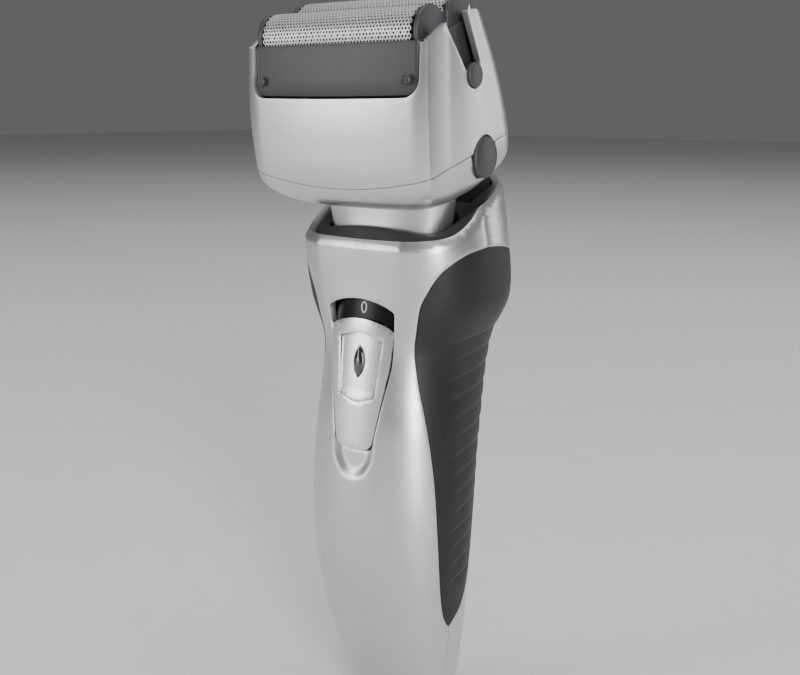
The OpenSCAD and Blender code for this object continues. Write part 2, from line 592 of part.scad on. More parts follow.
front_shell();
rear_shell();
grip_left();
grip_right();
base_cap();
base_seal();
inlet_socket();
contact_pins();
collar();
chassis();
chassis_screws();
battery();
battery_tabs();
circuit_board();
charge_lamp();
slide_contacts();
motor();
switch_window();
switch_plate();
thumb_pad();
switch_stem();
lock_button();
rotor();
neck();
head_base();
head_deck();
deck_screws();
latch_springs();
drive_arm_front();
drive_arm_rear();
blade_springs_front();
blade_springs_rear();
inner_blade_front();
inner_blade_rear();
frame_button_left();
frame_button_right();
foil_frame();
foil_holder();
holder_pins();
foil_front();
foil_rear();
foil_caps_front();
foil_caps_rear();
foil_button_left();
foil_button_right();
trimmer_housing();
trimmer_carriage();
trimmer_comb();
trimmer_cutter();
trimmer_knob();
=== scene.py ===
import math

import bpy
import numpy as np
from mathutils import Matrix, Vector
from mathutils.geometry import delaunay_2d_cdt


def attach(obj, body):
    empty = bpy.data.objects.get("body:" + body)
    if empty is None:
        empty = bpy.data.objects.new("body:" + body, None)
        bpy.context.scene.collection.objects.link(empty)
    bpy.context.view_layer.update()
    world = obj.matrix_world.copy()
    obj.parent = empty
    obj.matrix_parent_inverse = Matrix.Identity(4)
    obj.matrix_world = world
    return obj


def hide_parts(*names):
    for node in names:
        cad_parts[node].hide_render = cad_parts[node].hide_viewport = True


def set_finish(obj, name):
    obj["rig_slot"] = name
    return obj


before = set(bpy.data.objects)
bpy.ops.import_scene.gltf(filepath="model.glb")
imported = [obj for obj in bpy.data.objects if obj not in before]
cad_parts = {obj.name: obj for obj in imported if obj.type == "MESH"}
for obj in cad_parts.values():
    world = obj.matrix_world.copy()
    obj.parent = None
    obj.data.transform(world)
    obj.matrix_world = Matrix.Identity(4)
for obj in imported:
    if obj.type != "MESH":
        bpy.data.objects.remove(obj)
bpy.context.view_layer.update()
MM = 0.001
DEG = math.pi / 180


# ---------------------------------------------------------------- materials
def new_material(name):
    material = bpy.data.materials.new(name)
    material.use_nodes = True
    tree = material.node_tree
    return material, tree.nodes, tree.links, tree.nodes["Principled BSDF"]


def texture_space(nodes, links, scale):
    """Object coordinates, stretched by scale along each axis."""
    coords = nodes.new("ShaderNodeTexCoord")
    mapping = nodes.new("ShaderNodeMapping")
    mapping.inputs["Scale"].default_value = scale
    links.new(coords.outputs["Object"], mapping.inputs["Vector"])
    return mapping.outputs["Vector"]


def noise(nodes, links, vector, scale, detail=3.0):
    texture = nodes.new("ShaderNodeTexNoise")
    texture.inputs["Scale"].default_value = scale
    texture.inputs["Detail"].default_value = detail
    links.new(vector, texture.inputs["Vector"])
    return texture.outputs["Fac"]


def ramp(nodes, links, source, stops):
    node = nodes.new("ShaderNodeValToRGB")
    elements = node.color_ramp.elements
    for element, (position, colour) in zip(elements, stops):
        element.position = position
        element.color = (*colour, 1)
    links.new(source, node.inputs["Fac"])
    return node.outputs["Color"]


def finish(name, colour, metallic=0.0, rough=0.45, spread=0.06, grain=2500.0, bump=0.08, depth=0.00003,
           coat=0.0, cloud=90.0, stretch=(1, 1, 1), rough_spread=0.04, specular=0.5):
    """A moulded, painted or drawn surface: clouded colour, clouded gloss and a fine grain."""
    material, nodes, links, shader = new_material(name)
    vector = texture_space(nodes, links, stretch)
    clouds = noise(nodes, links, vector, cloud)
    low = [c * (1 - spread) for c in colour]
    high = [min(1, c * (1 + spread)) for c in colour]
    links.new(ramp(nodes, links, clouds, [(0.35, low), (0.65, high)]), shader.inputs["Base Color"])
    smear = noise(nodes, links, vector, cloud * 6, 5.0)
    value = nodes.new("ShaderNodeMapRange")
    value.inputs["To Min"].default_value = rough - rough_spread
    value.inputs["To Max"].default_value = rough + rough_spread
    links.new(smear, value.inputs["Value"])
    links.new(value.outputs["Result"], shader.inputs["Roughness"])
    relief = nodes.new("ShaderNodeBump")
    relief.inputs["Strength"].default_value = bump
    relief.inputs["Distance"].default_value = depth
    links.new(noise(nodes, links, vector, grain), relief.inputs["Height"])
    links.new(relief.outputs["Normal"], shader.inputs["Normal"])
    shader.inputs["Metallic"].default_value = metallic
    shader.inputs["Coat Weight"].default_value = coat
    shader.inputs["Coat Roughness"].default_value = 0.12
    shader.inputs["Specular IOR Level"].default_value = specular
    return material


SILVER = finish("silver_paint", (0.62, 0.62, 0.625), 0.90, 0.33, 0.03, 5200, 0.10, 0.00002, 0.15, 40)
BRIGHT = finish("bright_silver_paint", (0.72, 0.72, 0.725), 0.86, 0.27, 0.02, 5200, 0.08, 0.00002, 0.25, 40)
RUBBER = finish("grip_rubber", (0.010, 0.010, 0.011), 0, 0.50, 0.12, 3800, 0.35, 0.00004, cloud=120,
                specular=0.42)
DARK = finish("dark_grey_plastic", (0.036, 0.037, 0.039), 0.0, 0.42, 0.06, 4200, 0.20, 0.00003)
SEAL = finish("collar_plastic", (0.030, 0.030, 0.032), 0, 0.50, 0.08, 4200, 0.20, 0.00003)
SOCKET = finish("black_plastic", (0.018, 0.018, 0.019), 0, 0.45, 0.08, 4200, 0.20, 0.00003)
GLOSS = finish("gloss_black", (0.006, 0.006, 0.007), 0, 0.24, 0.05, 900, 0.02, 0.00001, rough_spread=0.02,
               specular=0.2)
CHROME = finish("black_chrome", (0.10, 0.10, 0.105), 0.9, 0.16, 0.05, 900, 0.02, 0.00001, 0.6,
                rough_spread=0.02)
# Steel for pins, screws, tabs, contacts, motor, springs, blades and trimmer parts. Its colour is darkened
# as painted shade, so the inner blades seen through the foil holes look dark inside
SHADE_DARKENED_STEEL = finish("steel", (0.30, 0.305, 0.315), 1.0, 0.30, 0.05, 1500, 0.10, 0.00002, stretch=(1, 1, 0.12))
FOIL = finish("foil_steel", (0.62, 0.62, 0.63), 0.55, 0.42, 0.05, 2600, 0.10, 0.00001)
INNER = finish("inner_frame_plastic", (0.024, 0.026, 0.03), 0, 0.45, 0.08, 3000, 0.20, 0.00003)
IVORY = finish("ivory_plastic", (0.60, 0.57, 0.48), 0, 0.42, 0.04, 3000, 0.15, 0.00003)
WRAP = finish("cell_wrap", (0.10, 0.22, 0.07), 0, 0.30, 0.05, 900, 0.05, 0.00002, 0.3)
BOARD = finish("board_green", (0.02, 0.12, 0.05), 0, 0.32, 0.20, 1400, 0.20, 0.00003, 0.3, 500)
LAMP = finish("lamp_green", (0.25, 0.55, 0.22), 0, 0.20, 0.05, 900, 0.02, 0.00001, 0.5)
MARK = finish("mark_grey", (0.60, 0.61, 0.63), 0, 0.50, 0.04, 2000, 0.05, 0.00001)

CARRIED = {
    SOCKET: ["inlet_socket", "switch_stem"],
    SHADE_DARKENED_STEEL: ["contact_pins", "chassis_screws", "battery_tabs", "slide_contacts", "motor", "rotor",
            "deck_screws", "latch_springs", "blade_springs_front", "blade_springs_rear",
            "inner_blade_front", "inner_blade_rear", "trimmer_comb", "trimmer_cutter"],
    INNER: ["chassis", "head_deck"],
    DARK: ["trimmer_housing", "trimmer_carriage", "base_cap"],
    SEAL: ["base_seal"],
    IVORY: ["drive_arm_front", "drive_arm_rear"],
    WRAP: ["battery"],
    BOARD: ["circuit_board"],
    LAMP: ["charge_lamp"],
}
for material, members in CARRIED.items():
    for node in members:
        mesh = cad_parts[node].data
        mesh.materials.clear()
        mesh.materials.append(material)


# ---------------------------------------------------------------- mesh helpers
def smooth(table, column, z):
    """Smooth value of a column of a station table at z."""
    table = np.asarray(table, float)
    zs, v = table[:, 0], table[:, column]
    z = np.clip(z, zs[0], zs[-1])
    i = np.clip(np.searchsorted(zs, z, "right") - 1, 0, len(zs) - 2)
    k = np.arange(len(zs))
    low, high = np.maximum(k - 1, 0), np.minimum(k + 1, len(zs) - 1)
    g = (v[high] - v[low]) / (zs[high] - zs[low])
    h = zs[i + 1] - zs[i]
    u = (z - zs[i]) / h
    return (v[i] * (1 + 2 * u) * (1 - u) ** 2 + h * g[i] * u * (1 - u) ** 2
            + v[i + 1] * u * u * (3 - 2 * u) - h * g[i + 1] * u * u * (1 - u))


def step_up(value, low, high):
    u = np.clip((value - low) / (high - low), 0, 1)
    return u * u * (3 - 2 * u)


def resample(points, step, closed=True):
    """Points along a line, at most step apart, with the given points kept."""
    points = np.asarray(points, float)
    ends = np.roll(points, -1, 0) if closed else points[1:]
    out = []
    for a, b in zip(points, ends):
        n = max(1, int(math.ceil(np.linalg.norm(b - a) / step)))
        out += [a + (b - a) * i / n for i in range(n)]
    if not closed:
        out.append(points[-1])
    return np.array(out)


def inside(points, ring):
    """Which points are inside a closed ring."""
    hit = np.zeros(len(points), bool)
    a, b = ring, np.roll(ring, -1, 0)
    for (x0, y0), (x1, y1) in zip(a, b):
        if y0 == y1:
            continue
        across = (points[:, 1] > y0) != (points[:, 1] > y1)
        hit ^= across & (points[:, 0] < (x1 - x0) * (points[:, 1] - y0) / (y1 - y0) + x0)
    return hit


def triangulate(rings, lines, step):
    """Triangles of the region inside rings[0] and outside the other rings, with edges along lines."""
    marks, edges, start = [], [], 0
    for k, line in enumerate(list(rings) + list(lines)):
        n = len(line)
        marks.append(line)
        edges += [(start + i, start + i + 1) for i in range(n - 1)]
        if k < len(rings):
            edges.append((start + n - 1, start))
        start += n
    marks = np.vstack(marks)
    low, high = rings[0].min(0), rings[0].max(0)
    rows = np.arange(low[1] + step / 2, high[1], step * 0.866)
    cols = np.arange(low[0], high[0], step)
    grid = np.array([(x + (i % 2) * step / 2, z) for i, z in enumerate(rows) for x in cols])
    keep = inside(grid, rings[0])
    for ring in rings[1:]:
        keep &= ~inside(grid, ring)
    grid = grid[keep]
    far = np.ones(len(grid), bool)
    for i in range(0, len(grid), 1500):
        d = np.linalg.norm(grid[i:i + 1500, None] - marks[None], axis=2).min(1)
        far[i:i + 1500] = d > 0.55 * step
    flat = np.vstack([marks, grid[far]])
    out = delaunay_2d_cdt([Vector(p) for p in flat], edges, [], 0, 1e-6)
    points = np.array([tuple(v) for v in out[0]])
    faces = [f for f in out[2] if len(f) == 3]
    middles = np.array([points[list(f)].mean(0) for f in faces])
    good = inside(middles, rings[0])
    for ring in rings[1:]:
        good &= ~inside(middles, ring)
    return points, [f for f, g in zip(faces, good) if g]


def make(name, verts, faces, material, body, slot, nodes=(), bevel=0.0, thick=0.0, angle=38, segments=2,
         outward=None, merge=0.0, flat=False, even=True):
    """Builds a piece from points in millimetres, thickens and bevels it, and lets it ride on a body."""
    mesh = bpy.data.meshes.new(name)
    mesh.from_pydata([tuple(v) for v in np.asarray(verts, float) * MM], [], [tuple(f) for f in faces])
    obj = bpy.data.objects.new(name, mesh)
    bpy.context.scene.collection.objects.link(obj)
    mesh.materials.append(material)
    if outward is not None:
        side = 0.0
        for p in mesh.polygons:
            side += p.normal.dot(outward(p.center)) * p.area
        if side < 0:
            mesh.flip_normals()
    if merge:
        add = obj.modifiers.new("weld", "WELD")
        add.merge_threshold = merge * MM
    if thick:
        add = obj.modifiers.new("thick", "SOLIDIFY")
        add.thickness = thick * MM
        add.offset = -1
        add.use_even_offset = even
    if bevel:
        add = obj.modifiers.new("bevel", "BEVEL")
        add.width = bevel * MM
        add.segments = segments
        add.limit_method = "ANGLE"
        add.angle_limit = 45 * DEG
        add.harden_normals = False
    graph = bpy.context.evaluated_depsgraph_get()
    final = bpy.data.meshes.new_from_object(obj.evaluated_get(graph))
    obj.modifiers.clear()
    obj.data = final
    final.name = name
    if not flat:
        final.shade_smooth()
        final.set_sharp_from_angle(angle=angle * DEG)
    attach(obj, body)
    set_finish(obj, slot)
    if nodes:
        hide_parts(*nodes)
    return obj


def stack(rings, caps=True, closed=False):
    """Points and faces of a solid through closed rings; closed joins the last ring to the first."""
    rings = np.asarray(rings, float)
    m, n = rings.shape[:2]
    verts = rings.reshape(-1, 3)
    faces = []
    for k in range(m if closed else m - 1):
        a, b = k * n, ((k + 1) % m) * n
        faces += [(a + i, a + (i + 1) % n, b + (i + 1) % n, b + i) for i in range(n)]
    if caps and not closed:
        faces.append(tuple(range(n))[::-1])
        faces.append(tuple((m - 1) * n + i for i in range(n)))
    return verts, faces


def mirrored(obj, name, body, nodes):
    """A copy of a piece on the other side of the YZ plane."""
    mesh = obj.data.copy()
    mesh.transform(Matrix.Scale(-1, 4, (1, 0, 0)))
    mesh.flip_normals()
    mesh.name = name
    other = bpy.data.objects.new(name, mesh)
    bpy.context.scene.collection.objects.link(other)
    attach(other, body)
    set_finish(other, obj["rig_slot"])
    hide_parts(*nodes)
    return other


def from_axis(p):
    """Direction away from the upright middle line of the shaver."""
    return Vector((p.x, p.y - 0.001, 0)).normalized()


# ---------------------------------------------------------------- handle
HANDLE = [  # height, half width, front face, rear face, squareness of the front half
    [0, 10.8, -5.4, 8.2, 2.3], [12, 14.1, -9.6, 8.7, 2.3], [30, 17.1, -15.6, 9.4, 2.3],
    [52, 18.3, -18.8, 11.2, 2.3], [72, 17.5, -18.0, 15.3, 2.4], [90, 16.9, -15.7, 20.6, 2.5],
    [100, 21.1, -15.4, 22.0, 2.7], [112, 21.2, -16.6, 20.9, 2.9], [127, 18.2, -18.0, 21.6, 2.9]]
REAR_N = 2.3
RIM_H = 113.3
RIM = [  # angle from the front, rise of the rim
    [0, 0], [40, 0.4], [62, 1.4], [79, 4.0], [91, 7.2], [115, 10.4], [145, 12.2], [180, 12.7]]
GRIP = [  # height, angle of the front edge, angle of the rear edge
    [28.8, 77.5, 83], [31.7, 72.5, 94], [37, 69.3, 106], [50, 66, 118], [64, 61.5, 128], [76, 53, 134],
    [86, 43, 138], [93, 37, 140], [99.5, 33, 141], [103, 36.8, 139], [107.2, 47, 131], [109.8, 61, 118],
    [111.3, 74, 100]]
BASE_T = 3.0
SWITCH_Z = 83.0
SQUASH = 0.994      # upright height of a length along the tilted switch
BEVEL_H = 1.7       # height of the bevel along the rim
CREASE_X = 10.6     # where the front facet of the handle ends
AROUND = 17.5       # millimetres of flat pattern per radian around the handle


def psi_of(t, z):
    """Pattern angle, in radians, of the station angle t in degrees."""
    t, z = np.broadcast_arrays(np.asarray(t, float), np.asarray(z, float))
    n = np.where(t < 90, smooth(HANDLE, 4, z), REAR_N)
    u = np.arcsin(np.clip(np.sin(np.clip(t, 0, 180) * DEG), 0, 1) ** (2 / n))
    return np.where(t < 90, u, math.pi - u)


def t_of(psi, z):
    """Station angle in degrees of a pattern angle in radians."""
    psi, z = np.broadcast_arrays(np.abs(np.asarray(psi, float)), np.asarray(z, float))
    n = np.where(psi < math.pi / 2, smooth(HANDLE, 4, z), REAR_N)
    u = np.arcsin(np.clip(np.abs(np.sin(psi)), 0, 1) ** (n / 2)) / DEG
    return np.where(psi < math.pi / 2, u, 180 - u)


def rim(t):
    """Height of the handle's rim at the station angle t."""
    return RIM_H + smooth(RIM, 1, np.abs(t))


def skin(psi, z, d=0.0):
    """Point of the handle's surface at pattern angle psi and height z, a distance d inside it."""
    a, f, r = smooth(HANDLE, 1, z) - d, smooth(HANDLE, 2, z) + d, smooth(HANDLE, 3, z) - d
    front = np.cos(psi) > 0
    n = np.where(front, smooth(HANDLE, 4, z), REAR_N)
    s = np.sin(psi)
    x = a * s
    y = (f + r) / 2 - (r - f) / 2 * np.where(front, 1, -1) * np.maximum(1 - np.abs(s) ** n, 0) ** (1 / n)
    return x, y


def relief(x, z):
    """Depth added to the handle's front: creases, the hollow between them and a scallop for the thumb."""
    crease = -0.42 * np.exp(-np.abs(np.abs(x) - CREASE_X) / 2.6) * step_up(z, 84, 108)
    hollow = 0.16 * np.maximum(1 - (x / CREASE_X) ** 2, 0) * step_up(z, 98, 108)
    e = np.clip(1 - (x / 5.4) ** 2 - ((z - 70.0) / 7.4) ** 2, 0, 1)
    scoop = 0.95 * step_up(e, 0, 0.62) * (z < 84)
    return crease + hollow + scoop


def handle_place(pattern, d=0.0):
    """Pattern points (angle * AROUND, height) to points of the handle's outside."""
    psi, z = pattern[:, 0] / AROUND, pattern[:, 1]
    top = rim(t_of(np.where(np.abs(psi) > math.pi, 2 * math.pi - np.abs(psi), psi), z))
    inset = d + 0.5 * np.maximum(z - (top - BEVEL_H), 0)
    x, y = skin(psi, z, inset)
    return np.stack([x, y + np.where(np.cos(psi) > 0, relief(x, z), 0), z], 1)


def psi_of_x(x, z):
    return np.arcsin(np.clip(x / smooth(HANDLE, 1, z), -1, 1))


# Edges of the right grip on the pattern, both going up from its lower tip to its upper tip
SEAM_T = 87.0       # station angle of the joint of the shells at the rim
TIP_LOW, TIP_HIGH = (80.3, 28.3), (SEAM_T, 111.75)
grip_z = np.concatenate([np.linspace(28.8, 31.7, 8)[:-1], np.linspace(31.7, 107.2, 150)[:-1],
                         np.linspace(107.2, 111.3, 14)])


def grip_edge(column):
    return np.stack([psi_of(smooth(GRIP, column, grip_z), grip_z) * AROUND, grip_z], 1)


def tip(point):
    return np.array([[float(psi_of(point[0], point[1])) * AROUND, point[1]]])


def rounded(points, passes=2):
    """Softens a line, keeping its ends."""
    for _ in range(passes):
        inner = (points[:-2] + 2 * points[1:-1] + points[2:]) / 4
        points = np.vstack([points[:1], inner, points[-1:]])
    return points


front_edge = rounded(np.vstack([tip(TIP_LOW), grip_edge(1), tip(TIP_HIGH)]))
rear_edge = rounded(np.vstack([tip(TIP_LOW), grip_edge(2), tip(TIP_HIGH)]))


def seam_line(point, up):
    """Joint of the two shells from a tip of the grip up to the rim or down to the base."""
    t, z = point
    end = float(rim(t)) if up else BASE_T
    zs = np.linspace(z, end, 12)[1:]
    return np.stack([psi_of(t, zs) * AROUND, zs], 1)


def rim_line(t0, t1, n):
    t = np.linspace(t0, t1, n)
    z = rim(t)
    return np.stack([psi_of(np.abs(t), z) * np.sign(t) * AROUND, z], 1)


GAP = np.array([0.05, 0])
right_side = np.vstack([seam_line(TIP_LOW, False)[::-1], front_edge, seam_line(TIP_HIGH, True)[:-1]]) - GAP
left_side = (right_side * [-1, 1])[::-1]
top_edge = rim_line(SEAM_T, -SEAM_T, 90)
front_ring = np.vstack([right_side, top_edge, left_side])


def half_arcs(corners, g):
    """Points of the half circles [x, height, radius], with the radii grown by g."""
    pts = []
    for cx, cz, r in corners:
        for k in range(25):
            b = -90 + 180 * k / 24
            pts.append((cx + (r + g) * math.cos(b * DEG), cz + (r + g) * math.sin(b * DEG)))
    return pts


def switch_ring(g, up):
    """Outline of the switch plate, grown by g, with its top end moved up, as [x, height]."""
    pts = half_arcs([(2.5, -11.2, 2.3), (6.3, 4.5, 1.2), (7.4, 11.4 + up, 0.7)], g)
    for x in np.linspace(0, 6.6, 18):
        pts.append((x, up - 4.1 + math.sqrt((18 + g) ** 2 - x * x)))
    for x in np.linspace(0, 2.4, 8):
        pts.append((x, -3.7 - math.sqrt((10.1 + g) ** 2 - x * x)))
    return hull(pts + [(-x, z) for x, z in pts])


def pad_ring(g):
    """Outline of the thumb pad, grown by g, as [x, height]."""
    pts = half_arcs([(3.8, -1.8, 0.7), (5.0, 9.3, 0.5)], g)
    for x in np.linspace(0, 2.2, 8):
        pts.append((x, 1.6 - math.sqrt((5.1 + g) ** 2 - x * x)))
    for x in np.linspace(0, 4.4, 12):
        pts.append((x, -3.3 + math.sqrt((14 + g) ** 2 - x * x)))
    return hull(pts + [(-x, z) for x, z in pts])


def hull(points):
    """Convex outline of the points, raised to the switch's height."""
    pts = sorted(set((round(x, 5), round(z, 5)) for x, z in points))
    out = []
    for run in (pts, pts[::-1]):
        part = []
        for p in run:
            while len(part) > 1 and ((part[-1][0] - part[-2][0]) * (p[1] - part[-2][1])
                                     - (part[-1][1] - part[-2][1]) * (p[0] - part[-2][0])) <= 0:
                part.pop()
            part.append(p)
        out += part[:-1]
    return np.array(out) * [1, SQUASH] + [0, SWITCH_Z]


def on_pattern(ring):
    return np.stack([psi_of_x(ring[:, 0], ring[:, 1]) * AROUND, ring[:, 1]], 1)


TRAVEL = 3.9        # the opening and the window above the switch are this much taller than its plate
STEP = 0.75
opening = on_pattern(resample(switch_ring(0.34, TRAVEL), 0.35))
crease_z = np.linspace(86, 112.6, 60)
creases = [np.stack([s * psi_of_x(CREASE_X, crease_z) * AROUND, crease_z], 1) for s in (-1, 1)]
bevel_line = rim_line(86, -86, 120) - [0, BEVEL_H]
points, faces = triangulate([resample(front_ring, 0.6), opening], creases + [bevel_line], STEP)
make("front_shell_skin", handle_place(points), faces, SILVER, "handle", "silver_body", ["front_shell"],
     bevel=0.16, thick=1.5, outward=from_axis)

flip = np.array([-1, 1])
turn = np.array([2 * math.pi * AROUND, 0])
rear_right = np.vstack([seam_line(TIP_LOW, False)[::-1], rear_edge, seam_line(TIP_HIGH, True)[:-1]])
rear_right = rear_right + GAP
rim_t = np.linspace(SEAM_T, 180, 60)
rim_rear = np.stack([psi_of(rim_t, rim(rim_t)) * AROUND, rim(rim_t)], 1)
rear_ring = np.vstack([rear_right, rim_rear, (rim_rear[:-1] * flip + turn)[::-1],
                       (rear_right * flip + turn)[::-1]])
slot_a = np.linspace(0, 2 * math.pi, 49)[:-1]
slot_x = 2.8 * np.cos(slot_a)
slot_z = 107.5 + 2.8 * np.sin(slot_a) + np.where(np.sin(slot_a) > 0, 5.2, -5.2)
knob_slot = resample(np.stack([(math.pi - psi_of_x(slot_x, slot_z)) * AROUND, slot_z], 1), 0.4)
rear_bevel = rim_rear[1:] - [0, BEVEL_H]
rear_bevel = np.vstack([rear_bevel, (rear_bevel[:-1] * flip + turn)[::-1]])
points, faces = triangulate([resample(rear_ring, 0.6), knob_slot], [rear_bevel], STEP)
make("rear_shell_skin", handle_place(points), faces, SILVER, "handle", "silver_body", ["rear_shell"],
     bevel=0.16, thick=1.5, outward=from_axis)

# Grips: rubber skins with thin ribs over their rear half
grip_ring = np.vstack([front_edge, rear_edge[1:-1][::-1]])


def shrink(ring, by):
    """The ring moved inwards by a small distance."""
    ahead, back = np.roll(ring, -1, 0), np.roll(ring, 1, 0)
    side = (ahead - back)[:, ::-1] * [1, -1]
    side /= np.maximum(np.linalg.norm(side, axis=1, keepdims=True), 1e-9)
    area = np.sum(ring[:, 0] * ahead[:, 1] - ahead[:, 0] * ring[:, 1])
    return ring - side * by * np.sign(area)


def ribs(pattern):
    """Depth of the grooves between the ribs of a grip."""
    psi, z = pattern[:, 0] / AROUND, pattern[:, 1]
    t = t_of(psi, z)
    front, rear = smooth(GRIP, 1, z), smooth(GRIP, 2, z)
    u = (t - front) / (rear - front)
    bend = z - 3.2 * (u - 0.5) + 1.1 * (u - 0.5) ** 2
    out = np.zeros(len(z))
    for k in range(14):
        near = bend - (92.5 - 4.05 * k)
        sharp, soft = np.exp(-(near / 0.42) ** 2), np.exp(-(near / 1.5) ** 2)
        groove = np.where(near > 0, sharp, soft * 0.55 + 0.45 * sharp)
        start = 0.20 + 0.05 * math.sin(k * 1.7)
        out += 0.34 * groove * step_up(u, start, start + 0.30) * (1 - step_up(u, 0.90, 0.99))
    return out


grip_step = 0.42
points, faces = triangulate([resample(shrink(grip_ring, 0.10), 0.5)], [], grip_step)
right_grip = make("grip_right_skin", handle_place(points, ribs(points)), faces, RUBBER, "handle",
                  "rubber_grip", ["grip_right"], outward=from_axis)
mirrored(right_grip, "grip_left_skin", "handle", ["grip_left"])

# ---------------------------------------------------------------- head
LEAN = 16 * DEG
HEAD_Z = 112        # height of the head frame's origin
FLOOR_W = 10.2      # height of the head's underside in its own frame
HEAD = [  # height, half width, front, rear, corner radius in front, corner radius behind
    [10.2, 15.4, -9.4, 7.5, 5, 5], [11.5, 17.8, -12.8, 11.8, 6, 6], [14.5, 20.5, -16.8, 15.6, 6, 6.5],
    [18, 21.6, -18.4, 16.2, 4.2, 6.5], [26, 22.1, -17.7, 14.8, 2.6, 6], [35, 22.2, -15.8, 12.1, 2.0, 5],
    [45.2, 21.9, -12.7, 8.6, 1.8, 4]]
CROWN = 1.0
F, C1, S, C2, R = 20.5, 7.0, 20.5, 8.5, 16.5     # pattern lengths of front, corner, side, corner, rear
HALF = F + C1 + S + C2 + R
TURN = 50 * DEG                                  # direction of the side just behind the crease
SLOT_LINE = [(-2.3, 35.8), (3.3, 35.8), (-1.7, 60), (-11.5, 60)]    # slot in the side, as [depth, height]


def lean(points):
    """Points given in the head's own frame, whose third axis leans back, to the shared frame."""
    p = np.asarray(points, float)
    v, w = p[..., 1], p[..., 2]
    return np.stack([p[..., 0], v * math.cos(LEAN) - w * math.sin(LEAN),
                     HEAD_Z + v * math.sin(LEAN) + w * math.cos(LEAN)], -1)


def crease_at(w):
    """Place of the crease in x, its depth behind the front, and the radii of the side's front part."""
    low = 1 - step_up(w, 10, 19)
    inset, back = 0.4 + 1.6 * low, 0.6 + 1.0 * low
    return smooth(HEAD, 1, w) - inset, CROWN + back, inset / (1 - math.sin(TURN)), 6.5 / math.cos(TURN)


def head_xy(q, w):
    """Point on the head's outline at pattern position q and height w."""
    q, w = np.broadcast_arrays(np.asarray(q, float), np.asarray(w, float))
    s, q = np.sign(q) + (q == 0), np.abs(q)
    a, f, r, r2 = (smooth(HEAD, k, w) for k in (1, 2, 3, 5))
    xc, fall, ra, rb = crease_at(w)
    t = q / F
    x = t * xc
    y = f + CROWN * t ** 2 + (fall - CROWN) * np.maximum((x - xc) / 3.2 + 1, 0) ** 1.8
    k = (q - F) / C1
    b = TURN + np.clip(k, 0, 1) * (math.pi / 2 - TURN)
    x = np.where(k > 0, a - ra * (1 - np.sin(b)), x)
    y = np.where(k > 0, f + fall + rb * (math.cos(TURN) - np.cos(b)), y)
    k = (q - F - C1) / S
    y0, y1 = f + fall + rb * math.cos(TURN), r - r2
    x = np.where(k > 0, a + 0.4 * np.sin(np.clip(k, 0, 1) * math.pi) ** 1.2, x)
    y = np.where(k > 0, y0 + (y1 - y0) * k, y)
    k = (q - F - C1 - S) / C2
    b = np.clip(k, 0, 1) * math.pi / 2
    x = np.where(k > 0, a - r2 + r2 * np.cos(b), x)
    y = np.where(k > 0, r - r2 + r2 * np.sin(b), y)
    k = (q - F - C1 - S - C2) / R
    x = np.where(k > 0, (a - r2) * (1 - k), x)
    y = np.where(k > 0, r, y)
    return s * x, y


def q_front(x, w):
    """Pattern position of a point of the front."""
    return F * x / crease_at(w)[0]


def q_rear(x, w):
    a, r2 = smooth(HEAD, 1, w), smooth(HEAD, 5, w)
    over = np.arccos(np.clip((x - a + r2) / r2, 0, 1)) * 2 / math.pi
    return np.where(x <= a - r2, HALF - R * x / (a - r2), HALF - R - C2 + C2 * over)


def q_side(v, w):
    xc, fall, ra, rb = crease_at(w)
    y0 = smooth(HEAD, 2, w) + fall + rb * math.cos(TURN)
    y1 = smooth(HEAD, 3, w) - smooth(HEAD, 5, w)
    b = np.arccos(np.clip((y0 - v) / rb, 0, 1))
    return np.where(v >= y0, F + C1 + S * (v - y0) / (y1 - y0), F + C1 * (b - TURN) / (math.pi / 2 - TURN))


def part_w(q, lift=0.0):
    """Height of the joint between the head's base and its frame."""
    w = np.full(np.shape(q), 18.5)
    for _ in range(4):
        w = 17.4 + 2.4 * (head_xy(q, w)[0] / 21.6) ** 2 + lift
    return w


def top_w(q):
    w = np.full(np.shape(q), 44.0)
    for _ in range(6):
        v = head_xy(q, w)[1] - 1.3
        w = 45.9 - np.where(v < 0, 0.0142, 0.04) * v * v
    return w


def head_place(pattern):
    """Pattern points (position along the outline, height) to points of the head's outside."""
    x, y = head_xy(pattern[:, 0], pattern[:, 1])
    return lean(np.stack([x, y, pattern[:, 1]], 1))


def arc(v, w, r, b0, b1, n):
    b = np.linspace(b0, b1, n) * DEG
    return np.stack([v + r * np.cos(b), w + r * np.sin(b)], 1)


def side_line(vw):
    vw = np.asarray(vw, float)
    return np.stack([q_side(vw[:, 0], vw[:, 1]), vw[:, 1]], 1)


def edge_of(w_of, q0, q1, n):
    """Line on the pattern at the heights given by w_of."""
    q = np.linspace(q0, q1, n)
    return np.stack([q, w_of(q)], 1)


# Outline of the right half of the foil frame, along its lower edge to the rear and back over its top
FB_V, FB_W, FB_R = 1.2, 18.2, 4.1       # large button: depth, height and radius
SB_V, SB_W, SB_R = 0.4, 34.3, 2.35      # small button
notch = side_line(arc(FB_V, FB_W, FB_R + 0.22, 180, 0, 60))
notch = notch[notch[:, 1] > part_w(notch[:, 0], 0.07)]
lower = np.vstack([edge_of(lambda q: part_w(q, 0.07), 0, notch[0, 0], 60)[:-1], notch,
                   edge_of(lambda q: part_w(q, 0.07), notch[-1, 0], HALF, 60)[1:]])


def window_line(q_of):
    """U shaped opening from its lowest middle to its upper end."""
    b = np.linspace(-90, 0, 16) * DEG
    x = np.concatenate([np.linspace(0, 17.05, 30)[:-1], 17.05 + 3.2 * np.cos(b), np.full(24, 20.25)])
    w = np.concatenate([np.full(29, 34.3), 37.5 + 3.2 * np.sin(b), np.linspace(37.5, 46, 25)[1:]])
    line = np.stack([q_of(x, w), w], 1)
    top = top_w(line[:, 0])
    return line[line[:, 1] < top - 0.2]


front_u, rear_u = window_line(q_front), window_line(q_rear)


def slot_edge(a, b):
    t = np.linspace(0, 1, 60)[:, None]
    line = side_line(np.array(a) * (1 - t) + np.array(b) * t)
    return line[line[:, 1] < top_w(line[:, 0]) - 0.1]


